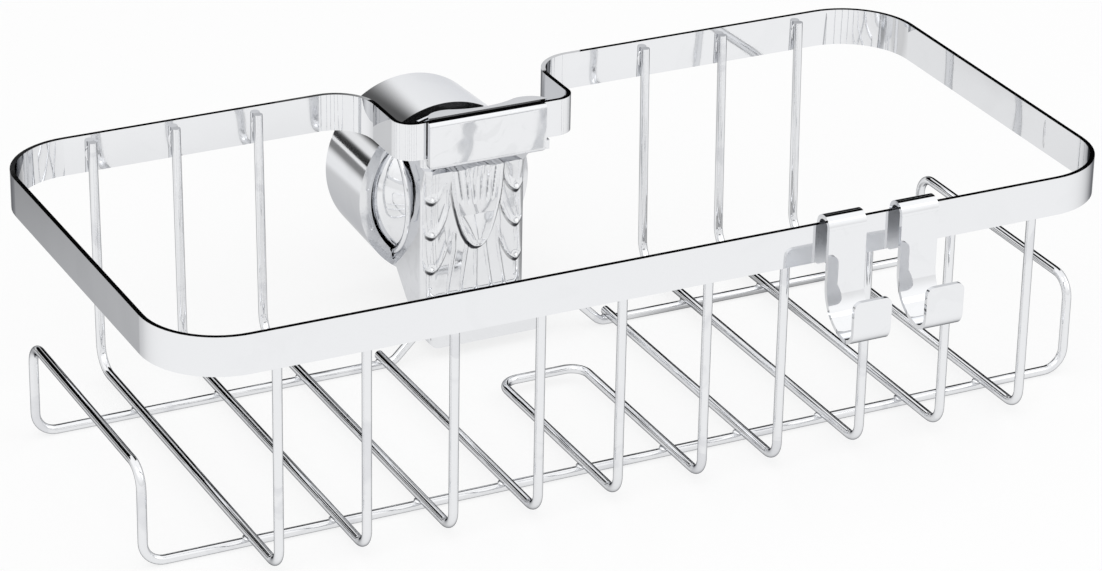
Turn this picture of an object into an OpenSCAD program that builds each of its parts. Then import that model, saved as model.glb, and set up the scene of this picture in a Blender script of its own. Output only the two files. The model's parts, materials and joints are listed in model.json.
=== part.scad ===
// Shower rod caddy: a chrome wire basket that hangs on a clamp for an upright shower rail.
// Millimetres. The origin is on the rail's axis, level with the clamp's knob.
// +X runs along the basket's front to the right, +Y back to the knob and the wall, +Z up.
// The pieces are laid out from the basket's middle on the plane of its base rails, and
// hung() moves them to the rail.

// Which sub-part to draw, or all

/* [Basket] */
// Width over the rim band
basket_w = 321.5; // [240:0.5:420]
// Depth over the rim band
basket_d = 155.5; // [130:0.5:220]
// Height from the base rails' underside to the rim's top edge
basket_h = 84.1; // [60:0.1:140]
// Thickness of the rim band
band_t = 1.5; // [1:0.1:3]
// Height of the rim band
band_h = 12.6; // [8:0.1:20]
// Corner radius of the rim band at its mid line
rim_r = 24; // [10:0.5:40]
// Width of the notch in the back rail, mid line to mid line
notch_w = 61.9; // [50:0.1:90]
// How far the notch steps forward of the back rail
notch_in = 34.4; // [25:0.1:50]
// Bend radius where the back rail turns into the notch
notch_back_r = 14; // [4:0.5:16]
// Bend radius of the notch's two front corners
notch_front_r = 6; // [3:0.5:12]

/* [Wires] */
// Diameter of the cross wires
wire_d = 3; // [2:0.1:5]
// Diameter of the base rail wire
rail_d = 3; // [2:0.1:5]
// How deep one wire sinks into the metal it is welded to
weld = 0.1; // [0.05:0.01:0.3]
// Bend radius at the front foot of a cross wire
foot_r = 6; // [4:0.5:12]
// Bend radius at the back foot of a cross wire
heel_r = 8; // [4:0.5:14]
// Gap between the top of an upright and the rim's top edge
wire_drop = 2.2; // [1:0.1:6]
// How far the back uprights lean forward at the foot
back_lean = 2.2; // [0:0.1:6]
// First wire, in from the rim's left side
edge_left = 33.75; // [26:0.05:50]
// Last wire, in from the rim's right side
edge_right = 31.95; // [26:0.05:50]
// Fourth wire, left of the clamp, from the middle
wire_4_x = -42.1; // [-60:0.1:-40]
// Seventh wire, right of the clamp, from the middle
wire_7_x = 40.6; // [38:0.1:60]
// Width between the two legs of the hairpin wire
hairpin_w = 29.1; // [20:0.1:50]
// Middle of the hairpin wire, from the middle of the basket
hairpin_x = -0.4; // [-10:0.1:10]
// How far back the hairpin reaches, from the rim's front
hairpin_l = 85.5; // [50:0.5:100]

/* [Base rail] */
// Front rail, behind the rim's front
rail_front = 25.8; // [12:0.1:40]
// Rear rail, forward of the rim in the notch
rail_back = 1.1; // [0:0.1:1.9]
// Side loops, outside the rim's sides
loop_out = 0; // [-20:0.5:30]
// Height of the side loops above the ground, to the wire's centre
loop_h = 33; // [15:0.5:60]
// Bend radius of the side loops
loop_r = 7; // [4:0.5:15]
// How far the middle of the rear rail steps up over the clamp's ledge
arch_rise = 10; // [7.5:0.1:15]
// Half width of the stepped part where it leaves the rail
arch_x = 38; // [36:0.1:60]
// Bend radius of the step
arch_r = 5; // [3:0.5:10]

/* [Hooks] */
// Width of a hook's strip
hook_w = 13.1; // [8:0.1:20]
// Thickness of a hook's strip
hook_t = 1.4; // [0.8:0.1:3]
// Inside radius of the bends over the rim
hook_loop_r = 2.4; // [1:0.1:2.4]
// Inside width of the loop over the rim
hook_loop_w = 5; // [5:0.1:8]
// Clearance between a hook and the rim
hook_gap = 0.1; // [0.05:0.05:0.5]
// Depth of the hook below the rim's top edge, to the strip's mid line
hook_drop = 33.5; // [28:0.1:60]
// How far the hook's bowl reaches forward, mid line to mid line
hook_reach = 17; // [16:0.1:30]
// Height of the hook's lip below the rim's top edge
hook_lip = 17.5; // [8:0.1:20]
// Length of the hook's back leg below the rim's top edge
hook_back = 14; // [8:0.1:25]
// Middle of the left hook
hook_1_x = 57.7; // [-140:0.1:140]
// Middle of the right hook
hook_2_x = 83.2; // [-140:0.1:140]

/* [Clamp] */
// Middle of the clamp, from the middle of the basket
clamp_x = -3.5; // [-20:0.5:20]
// Diameter of the shower rail that the jaws are cut for
rod_d = 20; // [18:0.5:22]
// Front wall of the clamp's rail space, behind the rim in the notch
rod_gap = 11.4; // [10.6:0.1:16]
// Height of the clamp's axis above the ground
knob_z = 43.3; // [40:0.1:48]
// Width of the clip's front plate
clip_w = 41.6; // [34:0.1:56]
// How far the front plate stands left of the clamp's middle
plate_left = 1.5; // [0:0.1:2]
// Thickness of the clip's front plate
plate_t = 1.8; // [1.7:0.1:4]
// Rounding of the plate's top and bottom edges
plate_round = 1.6; // [0.5:0.1:1.6]
// Radius of the plate's two lower corners
plate_corner = 2; // [0.5:0.1:4]
// How far the clip stands above the rim's top edge
clip_up = 0.3; // [0:0.1:3]
// How far the clip reaches below the rim's lower edge
clip_down = 3.7; // [2:0.1:8]
// Depth of the clip's two lobes, behind the rim in the notch
clip_back = 7.7; // [6:0.1:8.2]
// Radius of a lobe
lobe_r = 7; // [5:0.1:9]
// Distance between the lobes' middles
lobe_w = 28.2; // [24:0.1:34]
// How far the lobes' middle lies right of the clamp's middle
lobe_right = 0.5; // [0:0.1:1]
// Depth of the hollow between the lobes
hollow = 3.5; // [2:0.1:4]
// Wall of the plastic liner between clip and rim
liner_t = 0.6; // [0.5:0.1:1.5]
// Clearance between the liner and the rim band
liner_gap = 0.07; // [0.03:0.01:0.3]
// Width of the bracket's front panel
panel_w = 37; // [36:0.1:40]
// Front face of the panel, behind the rim in the notch
panel_in = 8.4; // [8:0.1:9]
// Wall thickness of the bracket
wall = 2; // [1.5:0.1:2.2]
// Rounding of the panel's upright edges
panel_r = 4.5; // [2.5:0.1:6]
// Width of the ledge under the basket
ledge_w = 43; // [34:0.5:56]
// Front of the ledge, forward of the rim in the notch
ledge_out = 3.6; // [3.4:0.1:8]
// Height of the ledge's underside above the ground
ledge_bot = 4.5; // [3:0.1:6]
// Height of the relief on the panel
relief = 1.2; // [0.4:0.1:2]
// Height of the rubber pad in front of the rail
pad_h = 42; // [30:1:42]
// How far the pad reaches round the rail
pad_deep = 6.5; // [4:0.1:8]

/* [Housing and jaw] */
// Radius of the ball housing
ball_r = 27.8; // [27.5:0.1:28]
// Centre of the ball, behind the rail's axis
ball_in = 22.5; // [22:0.1:23]
// Flat front face of the housing, behind the rail's axis
web_in = 11.5; // [11.3:0.1:12]
// Thickness of the housing's front web
web_t = 3.5; // [2.5:0.1:3.8]
// Radius of the hollow behind the web
cavity_r = 20.5; // [19:0.1:20.6]
// Gap between the ball and the arch in the walls
arch_gap = 0.5; // [0.3:0.1:1.5]
// Radius of the four screw posts
boss_r = 3; // [2.4:0.1:3.2]
// Length of the screw posts
boss_l = 9.5; // [9:0.1:14]
// Radius of the housing screws
fix_r = 1.5; // [1.2:0.1:1.7]
// Length of the housing screws under the head
fix_l = 10.5; // [6:0.1:10.5]
// Width of the moving jaw
jaw_w = 20.6; // [16:0.1:24]
// Height of the moving jaw
jaw_h = 33.6; // [24:0.1:36]
// Front edges of the jaw, behind the rail's axis
jaw_in = 5.5; // [4:0.1:7]
// Back of the jaw, behind the rail's axis
jaw_end = 24; // [23:0.1:24.2]
// Thickness of the jaw's stop
stop_t = 3.8; // [2:0.1:5]
// Width of the jaw's stop
stop_w = 26; // [22:0.5:30]
// Thickness of the rubber on the moving jaw
pad_t = 1.2; // [0.8:0.1:1.8]
// Radius of the brass nut
nut_r = 7; // [5.5:0.1:8]
// Length of the brass nut
nut_l = 6; // [4:0.1:7]
// Radius of the clamp screw's thread
screw_r = 4; // [3:0.1:4.5]
// How far the screw reaches into the jaw
screw_in = 8; // [6:0.1:8.5]
// Radius of the screw's collar
collar_r = 7; // [5.5:0.1:10]
// Thickness of the screw's collar
collar_t = 2.8; // [1.5:0.1:3]
// Radius of the bearing plate
brg_r = 24.1; // [23.8:0.1:24.4]
// Thickness of the bearing plate
brg_t = 3; // [2:0.1:3.4]
// Front of the bearing plate, behind the housing's front face
brg_in = 18.3; // [18.2:0.1:18.8]
// Radius of the three plate screws' ring
ring_r = 22.15; // [21.9:0.05:22.3]
// Radius of the plate screws
pin_r = 1.2; // [0.8:0.1:1.3]
// Length of the plate screws under the head
pin_l = 9; // [5:0.1:10]
// Clearance of parts that slide or turn
run = 0.06; // [0.02:0.01:0.1]

/* [Knob] */
// Radius of the knob's front edge
knob_r = 30.85; // [30.5:0.05:36]
// Radius of the knob's back edge
knob_back_r = 29.75; // [29.5:0.05:36]
// Length of the knob
knob_len = 31; // [31:0.5:45]
// Gap between the housing's front face and the knob
knob_gap = 0.5; // [0.3:0.1:1]
// Wall thickness of the knob
knob_wall = 1.2; // [0.8:0.1:1.3]
// Thickness of the knob's back
back_t = 2.8; // [2.5:0.1:4]
// Bevel round the knob's back edge
bevel = 0.6; // [0.4:0.1:2.6]
// Radius of the flange's inner opening
flange_r = 26.7; // [26.6:0.1:27.4]
// Thickness of the flange
flange_t = 1.3; // [0.8:0.1:1.4]
// Number of slots in the knob's flange
slots = 12; // [6:1:18]
// Length of a flange slot
slot_l = 6.4; // [3:0.1:8]
// Width of a flange slot
slot_w = 1.6; // [1:0.1:2]
// Depth of a flange slot
slot_deep = 0.5; // [0.2:0.1:1]
// Radius of the hub inside the knob
hub_r = 9; // [8.5:0.1:14]
// Thickness of the ribs round the hub
rib_t = 1.4; // [0.8:0.1:3]
// Radius of the thrust washer
washer_r = 8.6; // [7:0.1:10]
// Thickness of the thrust washer
washer_t = 0.8; // [0.5:0.1:1]
// How far the screw's stem reaches into the hub
stem_l = 4.2; // [3:0.1:4.4]
// Radius of the knob's bolt
bolt_r = 2; // [1.5:0.1:2.2]
// Length of the knob's bolt under the head
bolt_l = 7; // [5:0.1:8]
// Radius of the cap's seat
cap_r = 8; // [6:0.1:8.4]
// Depth of the cap's seat
cap_in = 1.9; // [1:0.1:1.9]

/* [Hidden] */
$fn = 72;
e = 0.05;
lap = 0.001;
past = 2;
hook_seat = 0.05;
hook_slope = 4.2;
hook_bowl_r = 13;
hook_lip_r = 4.6;
lip_round = 2.5;
run_on = 0.25;
drawn = 0.03;
hw = basket_w/2 - band_t/2;
hd = basket_d/2 - band_t/2;
rim_bot = basket_h - band_h;
rail_z = rail_d/2;
cross_z = rail_d + wire_d/2 - weld;
wire_top = basket_h - wire_drop;
wire_in = band_t/2 + wire_d/2 - weld;
front_y = -hd + wire_in;
back_y = hd - wire_in;
heel_y = back_y - back_lean;
notch_y = hd - notch_in;
hairpin_y = hairpin_l - hd;
wire_1_x = edge_left - basket_w/2;
wire_10_x = basket_w/2 - edge_right;
left_pitch = (wire_4_x - wire_1_x)/3;
right_pitch = (wire_10_x - wire_7_x)/3;
rail_y0 = rail_front - hd;
rail_y1 = notch_y - rail_back;
loop_x = basket_w/2 + loop_out;
arch_z = rail_z + arch_rise;
ledge_y = notch_y - ledge_out;
ledge_z = arch_z - rail_d/2 - e;
// Clip and panel
slot_half = band_t/2 + liner_gap + liner_t;
slot_side = notch_y - slot_half;
plate_y = slot_side - plate_t;
clip_top = basket_h + clip_up;
clip_bot = rim_bot - clip_down;
slot_floor = rim_bot - e - liner_t;
lobe_x = clamp_x + lobe_right;
lobe_y = notch_y + clip_back - lobe_r;
hollow_r = (pow(lobe_w/2, 2) + pow(lobe_r - hollow, 2) - pow(lobe_r, 2))/(2*hollow);
panel_y = notch_y + panel_in;
panel_side = panel_w/2;
tongue_r = 10.6;
tongue_up = 2;
// Housing, jaw and knob
rod_y = notch_y + rod_gap + rod_d/2;
ball_y = rod_y + ball_in;
web_y = rod_y + web_in;
cheek_x = panel_side + 0.15;
arch_hole_r = sqrt(pow(ball_r, 2) - pow(cheek_x, 2)) + arch_gap;
boss_x = panel_side - boss_r - 0.2;
boss_z = 17;
jaw_y = rod_y + jaw_in;
jaw_back = rod_y + jaw_end;
head_y = web_y + web_t;
brg_y = web_y + brg_in;
brg_back = brg_y + brg_t;
house_back = brg_back + 0.7;
hub_y = brg_back + run + washer_t;
stem_r = screw_r + 0.6;
stem_end = hub_y + stem_l;
flat_z = screw_r - 0.4;
bolt_seat = stem_end + 1;
knob_y = web_y + knob_gap;
knob_end = knob_y + knob_len;

// Vector help for the bent wires and strips
function unit(v) = v/norm(v);
function side(v) = abs(v[2]) < 0.9 ? unit(cross(v, [0, 0, 1])) : [1, 0, 0];
function at(p, i) = p[(i + len(p)) % len(p)];
function dir_in(p, i) = unit(at(p, i) - at(p, i - 1));
function dir_out(p, i) = unit(at(p, i + 1) - at(p, i));
function turn(p, i) = acos(max(-1, min(1, dir_in(p, i)*dir_out(p, i))));
function trim(p, r, i) = at(r, i) == 0 ? 0 : at(r, i)*tan(turn(p, i)/2);
function straight(p, r, i) = norm(at(p, i + 1) - at(p, i)) - trim(p, r, i) - trim(p, r, i + 1);
function inward(p, i) = unit(dir_out(p, i) - dir_in(p, i)*(dir_in(p, i)*dir_out(p, i)));

// From the basket's own layout to the rail's axis
module hung() translate([-clamp_x, -rod_y, -knob_z]) children();

// Moves a child so that its axes lie along a, b and c with its origin at o
module frame(o, a, b, c)
  multmatrix([[a[0], b[0], c[0], o[0]], [a[1], b[1], c[1], o[1]], [a[2], b[2], c[2], o[2]],
    [0, 0, 0, 1]]) children();

// A round wire along corner points p with bend radii r
// A bend is a hair thinner than the straight wire, as bending draws it, and runs on into it
module wire(p, r, d, closed = false) {
  n = len(p);
  for (i = [0:(closed ? n - 1 : n - 2)]) {
    u = dir_out(p, i);
    frame(at(p, i) + u*trim(p, r, i), side(u), cross(u, side(u)), u)
      cylinder(d = d, h = straight(p, r, i));
  }
  for (i = [(closed ? 0 : 1):(closed ? n - 1 : n - 2)]) {
    u = dir_in(p, i);
    k = inward(p, i);
    more = run_on/at(r, i)*180/PI;
    frame(at(p, i) - u*trim(p, r, i) + k*at(r, i), -k, u, cross(-k, u))
      rotate([0, 0, -more]) rotate_extrude(angle = turn(p, i) + 2*more)
        translate([at(r, i), 0]) circle(d = d - drawn);
  }
}

// A flat strip along corner points p: t thick across the path, w wide along the direction k0
// The corners of a closed band lie flush with its sides
module strip(p, r, t, w, k0, closed = false) {
  n = len(p);
  give = closed ? 0 : drawn;
  for (i = [0:(closed ? n - 1 : n - 2)]) {
    u = dir_out(p, i);
    frame(at(p, i) + u*trim(p, r, i), cross(k0, u), -k0, u)
      translate([-t/2, -w/2, 0]) cube([t, w, straight(p, r, i)]);
  }
  for (i = [(closed ? 0 : 1):(closed ? n - 1 : n - 2)]) {
    u = dir_in(p, i);
    k = inward(p, i);
    more = closed ? 0 : run_on/at(r, i)*180/PI;
    frame(at(p, i) - u*trim(p, r, i) + k*at(r, i), -k, u, cross(-k, u))
      rotate([0, 0, -more]) rotate_extrude(angle = turn(p, i) + 2*more)
        translate([at(r, i) - (t - give)/2, -(w - give)/2]) square([t - give, w - give]);
  }
}

// A cylinder along +Y from y0 to y1, and a cone
module ycyl(r, y0, y1, x = 0, z = 0)
  translate([x, y0, z]) rotate([-90, 0, 0]) cylinder(r = r, h = y1 - y0);
module ycone(ra, rb, y0, y1, x = 0, z = 0)
  translate([x, y0, z]) rotate([-90, 0, 0]) cylinder(r1 = ra, r2 = rb, h = y1 - y0);

// A flat outline in Y and Z, pushed out along X from x0 to x1
module side_plate_of(x0, x1)
  translate([x0, 0, 0]) rotate([90, 0, 90]) linear_extrude(height = x1 - x0) children();

// A rounded rectangle made of true arcs, from x0,y0 to x1,y1
module round_rect(x0, y0, x1, y1, r) {
  translate([x0 + r, y0]) square([x1 - x0 - 2*r, y1 - y0]);
  translate([x0, y0 + r]) square([x1 - x0, y1 - y0 - 2*r]);
  for (x = [x0 + r, x1 - r], y = [y0 + r, y1 - r]) translate([x, y]) circle(r = r);
}

// Basket
module rim_band() {
  nx0 = clamp_x - notch_w/2;
  nx1 = clamp_x + notch_w/2;
  p = [[-hw, -hd, 0], [hw, -hd, 0], [hw, hd, 0], [nx1, hd, 0], [nx1, notch_y, 0],
    [nx0, notch_y, 0], [nx0, hd, 0], [-hw, hd, 0]];
  r = [rim_r, rim_r, rim_r, notch_back_r, notch_front_r, notch_front_r, notch_back_r, rim_r];
  color("silver") hung() translate([0, 0, basket_h - band_h/2])
    strip(p, r, band_t, band_h, [0, 0, 1], true);
}

module u_wire(x)
  color("gainsboro") hung() wire([[x, front_y, wire_top], [x, front_y, cross_z], [x, heel_y, cross_z],
    [x, back_y + 0.15, wire_top]], [0, foot_r, heel_r, 0], wire_d);

module j_wire(x)
  color("gainsboro") hung() wire([[x, front_y, wire_top], [x, front_y, cross_z],
    [x, rail_y1 + rail_d/2, cross_z]], [0, foot_r, 0], wire_d);

module hairpin_wire() {
  a = hairpin_x - hairpin_w/2;
  b = hairpin_x + hairpin_w/2;
  color("gainsboro") hung() wire([[a, front_y, wire_top], [a, front_y, cross_z],
    [a, hairpin_y, cross_z], [b, hairpin_y, cross_z], [b, front_y, cross_z],
    [b, front_y, wire_top]], [0, foot_r, foot_r, foot_r, foot_r, 0], wire_d);
}

module base_rail() {
  ax = arch_x - arch_rise;
  color("lightgray") hung() wire([[-loop_x, rail_y0, rail_z], [loop_x, rail_y0, rail_z],
    [loop_x, rail_y0, loop_h], [loop_x, rail_y1, loop_h], [loop_x, rail_y1, rail_z],
    [arch_x, rail_y1, rail_z], [ax, rail_y1, arch_z], [-ax, rail_y1, arch_z],
    [-arch_x, rail_y1, rail_z], [-loop_x, rail_y1, rail_z], [-loop_x, rail_y1, loop_h],
    [-loop_x, rail_y0, loop_h]],
    [loop_r, loop_r, loop_r, loop_r, loop_r, arch_r, arch_r, arch_r, arch_r, loop_r, loop_r,
      loop_r], rail_d, true);
}

// Hooks
// A bent strip: back leg, loop over the rim, front leg, bowl and lip, seen from the side
module hook(x) {
  back = -hd + band_t/2 + hook_gap + hook_t/2;
  front = back - hook_loop_w - hook_t;
  // the rim's inner edge bears in the loop's round, not in its middle
  rise = hook_loop_r - sqrt(pow(hook_loop_r - hook_seat, 2) - pow(hook_loop_r - hook_gap, 2));
  top = basket_h + rise + hook_t/2;
  low = basket_h - hook_drop;
  lip_y = front - hook_reach;
  color("silver") hung() difference() {
    strip([[x, back, basket_h - hook_back], [x, back, top], [x, front, top],
      [x, front, low + hook_slope], [x, lip_y, low], [x, lip_y, basket_h - hook_lip]],
      [0, hook_loop_r + hook_t/2, hook_loop_r + hook_t/2, hook_bowl_r, hook_lip_r, 0],
      hook_t, hook_w, [1, 0, 0]);
    for (s = [-1, 1]) translate([x + s*(hook_w/2 - lip_round), lip_y, basket_h - hook_lip
      - lip_round]) rotate([90, 0, 0]) lip_corner(s);
  }
}

// The waste outside a rounded lip corner
module lip_corner(s)
  translate([0, 0, -hook_t]) linear_extrude(height = 2*hook_t) difference() {
    translate([s > 0 ? 0 : -2*lip_round, 0]) square(2*lip_round);
    circle(r = lip_round);
  }

// Bracket
// Front plate of the clip with rounded edges, and the front half of the slot's floor
module clip_front() {
  x0 = clamp_x - plate_left - clip_w/2;
  deep = plate_t + past;
  intersection() {
    translate([x0 - 1, 0, 0]) rotate([90, 0, 90]) linear_extrude(height = clip_w + 2)
      round_rect(plate_y, clip_bot, plate_y + 3*deep, clip_top, plate_round);
    translate([x0, plate_y + deep - 1, 0]) rotate([90, 0, 0]) linear_extrude(height = deep)
      round_rect(0, clip_bot, clip_w, clip_top + 3*plate_corner, plate_corner);
  }
}

// Plan of the clip behind the rim: two round lobes with a hollow between them
module lobes_plan() {
  a = lobe_w/2;
  share = lobe_r/(hollow_r + lobe_r);
  difference() {
    union() {
      for (s = [-1, 1]) translate([lobe_x + s*a, lobe_y]) circle(r = lobe_r);
      translate([lobe_x - a, slot_side])
        square([2*a, lobe_y - slot_side + share*(hollow_r + lobe_r - hollow)]);
    }
    translate([lobe_x, lobe_y + lobe_r - hollow + hollow_r]) circle(r = hollow_r + e);
    translate([lobe_x - 2*a, slot_side - 3*lobe_r]) square([4*a, 3*lobe_r]);
  }
}

// Plan of the panel and its two walls, g inside their outer face
module shield_plan(g) {
  round_rect(clamp_x - panel_side + g, panel_y + g, clamp_x + panel_side - g,
    panel_y + g + 3*panel_r, panel_r - g);
  translate([clamp_x - panel_side + g, panel_y + panel_r + 1])
    square([panel_w - 2*g, web_y - panel_y]);
}

// Side view of the walls: open towards the ball in a round arch between two prongs
module wall_outline()
  difference() {
    polygon([[panel_y - 6, basket_h - 2.6], [panel_y + 1, basket_h - 4.5],
      [web_y, knob_z + 22.2], [web_y, knob_z - 22.6], [rod_y + 1.5, ledge_bot + 6.5],
      [rod_y - 6, ledge_bot + 2], [panel_y - 1, ledge_bot + 0.8],
      [panel_y - 6, ledge_bot + 0.8]]);
    translate([ball_y, knob_z]) circle(r = arch_hole_r);
  }

// The pattern's outlines, in X and Z seen from the front
module tongue_outline() {
  translate([-10, 48]) square([20, 18]);
  intersection_for (x = [-5.6, 0, 5.6]) translate([x, 48]) circle(r = 15.4);
}

module scallop_outline(x, tip) {
  translate([x, tip + 4.5]) circle(r = 4.5);
  translate([x - 4.5, tip + 4.5]) square([9, 12]);
}

// Stands such an outline on the panel, h proud of its face and sunk into it
module from_front(h, sunk = 1)
  translate([clamp_x, panel_y + sunk, 0]) rotate([90, 0, 0]) linear_extrude(height = h + sunk)
    children();

module relief_tongue() {
  mid = panel_y + tongue_r - tongue_up;
  difference() {
    intersection() {
      from_front(3) tongue_outline();
      translate([clamp_x, mid, 30]) cylinder(r = tongue_r, h = 40);
    }
    for (a = [-28:14:28])
      translate([clamp_x + (tongue_r + 0.3)*sin(a), mid - (tongue_r + 0.3)*cos(a), 51])
        cylinder(r = 0.8, h = 20);
  }
}

module relief_scallops()
  for (k = [0:2]) intersection() {
    from_front(5, 5) for (s = [-1, 1]) scallop_outline(s*14, 50.6 - 12.3*k);
    linear_extrude(height = 62.5) difference() {
      shield_plan(0.3*k - relief);
      shield_plan(1);
    }
  }

module relief_fan()
  for (a = [-14, 0, 14])
    translate([clamp_x + a*0.2, panel_y + 0.2, 17]) rotate([0, a, 0])
      cylinder(r = 0.8, h = 14);

module shield() {
  difference() {
    intersection() {
      linear_extrude(height = basket_h) difference() {
        shield_plan(0);
        shield_plan(wall);
      }
      side_plate_of(clamp_x - panel_w, clamp_x + panel_w) wall_outline();
    }
    translate([clamp_x - panel_side + wall, panel_y - 1, clip_bot + 3])
      cube([panel_w - 2*wall, wall + 2, 30]);
  }
  // cheeks that carry the walls up into the clip
  for (x = [clamp_x - panel_side, clamp_x + panel_side - wall])
    side_plate_of(x + 0.1, x + wall - 0.1)
      polygon([[panel_y - 5, clip_bot - 1.8], [panel_y - 5, basket_h - 3.6],
        [panel_y + 1, basket_h - 4.7], [rod_y - 6, basket_h - 8.8], [rod_y - 6, clip_bot - 1.8]]);
}

// Ledge that carries the rear rail, with rounded corners and ends
module ledge()
  intersection() {
    translate([0, 0, ledge_bot - 1]) linear_extrude(height = ledge_z - ledge_bot + 1)
      round_rect(clamp_x - ledge_w/2, ledge_y, clamp_x + ledge_w/2, panel_y + wall + 2, 3.5);
    translate([clamp_x - ledge_w/2, panel_y + wall + 3, 0]) rotate([90, 0, 0])
      linear_extrude(height = panel_y + wall + 4 - ledge_y)
        round_rect(0, ledge_bot, ledge_w, ledge_z + 3, 2.2);
  }

module bosses()
  for (s = [-1, 1], t = [-1, 1])
    ycyl(boss_r, web_y - boss_l, web_y, clamp_x + s*boss_x, knob_z + t*boss_z);

module bracket_body() {
  color("lightsteelblue") hung() difference() {
    union() {
      clip_front();
      translate([0, 0, clip_bot]) linear_extrude(height = clip_top - clip_bot) lobes_plan();
      // sloped neck between the clip and the panel
      side_plate_of(clamp_x - panel_side + 2.2, clamp_x + panel_side - 2.2)
        polygon([[notch_y, clip_bot + 1], [panel_y + wall - 0.4, clip_bot + 1],
          [panel_y + wall - 0.4, clip_bot - 9.8], [panel_y + 0.4, clip_bot - 7.7]]);
      shield();
      ledge();
      relief_tongue();
      relief_scallops();
      relief_fan();
      bosses();
    }
    // slot for the liner and the rim band
    translate([clamp_x - clip_w, slot_side, slot_floor]) cube([2*clip_w, 2*slot_half, 30]);
    // screw holes
    for (s = [-1, 1], t = [-1, 1])
      ycyl(fix_r, head_y - fix_l - 0.5, web_y + 1, clamp_x + s*boss_x, knob_z + t*boss_z);
  }
}

module clip_liner() {
  x0 = lobe_x - lobe_w/2 - lobe_r + 0.2;
  x1 = clamp_x - plate_left + clip_w/2 - 0.2;
  color("dimgray") hung() difference() {
    translate([x0, slot_side, slot_floor]) cube([x1 - x0, 2*slot_half, basket_h - slot_floor]);
    translate([x0 - 1, slot_side + liner_t, slot_floor + liner_t])
      cube([x1 - x0 + 2, 2*(slot_half - liner_t), 40]);
  }
}

// Rubber lining of the front jaw
module front_pad() {
  w = panel_w - 2*wall - 0.6;
  y0 = panel_y + wall;
  color("dimgray") hung() translate([clamp_x, 0, knob_z - pad_h/2])
    linear_extrude(height = pad_h) difference() {
      round_rect(-w/2, y0, w/2, y0 + 2*pad_deep, panel_r - wall + 0.2);
      translate([-w, y0 + pad_deep]) square([2*w, 2*pad_deep]);
      translate([0, rod_y]) circle(d = rod_d);
    }
}

// Ball housing behind the rail
module ball_housing() {
  color("silver") hung() translate([clamp_x, 0, knob_z]) difference() {
    translate([0, ball_y, 0]) rotate([-90, 0, 0]) sphere(r = ball_r);
    // flat back
    translate([-2*ball_r, house_back, -2*ball_r]) cube(4*ball_r);
    // everything in front of the web but the two cheek caps
    translate([-cheek_x, web_y - 2*ball_r, -2*ball_r])
      cube([2*cheek_x, 2*ball_r, 4*ball_r]);
    // hollow for the jaw and the collar, and the bearing plate's seat
    ycyl(cavity_r, head_y, knob_end);
    ycyl(brg_r + 0.1, brg_y, knob_end);
    // window for the jaw
    translate([-jaw_w/2 - run, web_y - 10, -jaw_h/2 - run])
      cube([jaw_w + 2*run, web_t + 15, jaw_h + 2*run]);
    // holes and pockets for the four housing screws
    for (s = [-1, 1], t = [-1, 1]) {
      ycyl(fix_r + 0.05, web_y - 15, head_y + 10, s*boss_x, t*boss_z);
      ycyl(2*fix_r, head_y, brg_y + 0.5, s*boss_x, t*boss_z);
    }
    // threaded holes for the bearing plate
    for (a = [90, 210, 330])
      ycyl(pin_r, brg_back - pin_l - 1, knob_end, ring_r*cos(a), ring_r*sin(a));
  }
}

module screw_y(x, z, y_head, len, r, rh, hh)
  difference() {
    union() {
      ycyl(rh, y_head, y_head + hh, x, z);
      ycyl(r, y_head - len, y_head + e, x, z);
    }
    ycyl(rh*0.45, y_head + hh - 1, y_head + hh + 1, x, z);
  }

module housing_screws() {
  color("dimgray") hung() for (s = [-1, 1], t = [-1, 1])
    screw_y(clamp_x + s*boss_x, knob_z + t*boss_z, head_y, fix_l, fix_r, 2*fix_r - 0.2, 2.2);
}

module bearing_plate() {
  color("gray") hung() translate([clamp_x, 0, knob_z]) difference() {
    ycyl(brg_r, brg_y, brg_back);
    ycyl(stem_r, brg_y - 1, brg_back + 1);
    for (a = [90, 210, 330])
      ycyl(pin_r + 0.05, brg_y - 1, brg_back + 1, ring_r*cos(a), ring_r*sin(a));
  }
}

module plate_screws() {
  color("dimgray") hung() for (a = [90, 210, 330])
    screw_y(clamp_x + ring_r*cos(a), knob_z + ring_r*sin(a), brg_back, pin_l, pin_r, 2, 1.6);
}

// Flat on the screw's stem and in the knob's hub
module flat_side(up)
  translate([-2*stem_r, brg_y, -2*stem_r]) cube([4*stem_r, knob_len, 2*stem_r + flat_z + up]);

// Clamp screw with its collar, turned by the knob
module clamp_screw() {
  color("gray") hung() translate([clamp_x, 0, knob_z]) difference() {
    union() {
      ycyl(screw_r, jaw_back - screw_in, brg_y - collar_t/2);
      ycyl(collar_r, brg_y - run - collar_t, brg_y - run);
      ycyl(stem_r - run, brg_y - 0.2, brg_back + 1);
      intersection() {
        ycyl(stem_r, brg_back + 0.8, stem_end);
        flat_side(0);
      }
    }
    ycyl(bolt_r, bolt_seat - bolt_l - 1.4, knob_end);
  }
}

module nut_insert() {
  color("goldenrod") hung() translate([clamp_x, 0, knob_z]) difference() {
    ycyl(nut_r, jaw_back - nut_l, jaw_back);
    ycyl(screw_r + run, jaw_back - nut_l - 1, jaw_back + 1);
  }
}

module jaw() {
  color("silver") hung() translate([clamp_x, 0, knob_z]) difference() {
    union() {
      translate([-jaw_w/2, jaw_y, -jaw_h/2]) cube([jaw_w, jaw_back - jaw_y, jaw_h]);
      intersection() {
        ycyl(cavity_r - 0.5, jaw_back - stop_t, jaw_back);
        translate([-stop_w/2, rod_y, -2*cavity_r]) cube([stop_w, 2*jaw_end, 4*cavity_r]);
      }
    }
    translate([0, rod_y, -jaw_h]) cylinder(r = rod_d/2 + pad_t, h = 2*jaw_h);
    ycyl(screw_r + 0.4, jaw_back - screw_in - 3, jaw_back + 1);
    ycyl(nut_r, jaw_back - nut_l, jaw_back + 1);
  }
}

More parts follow.
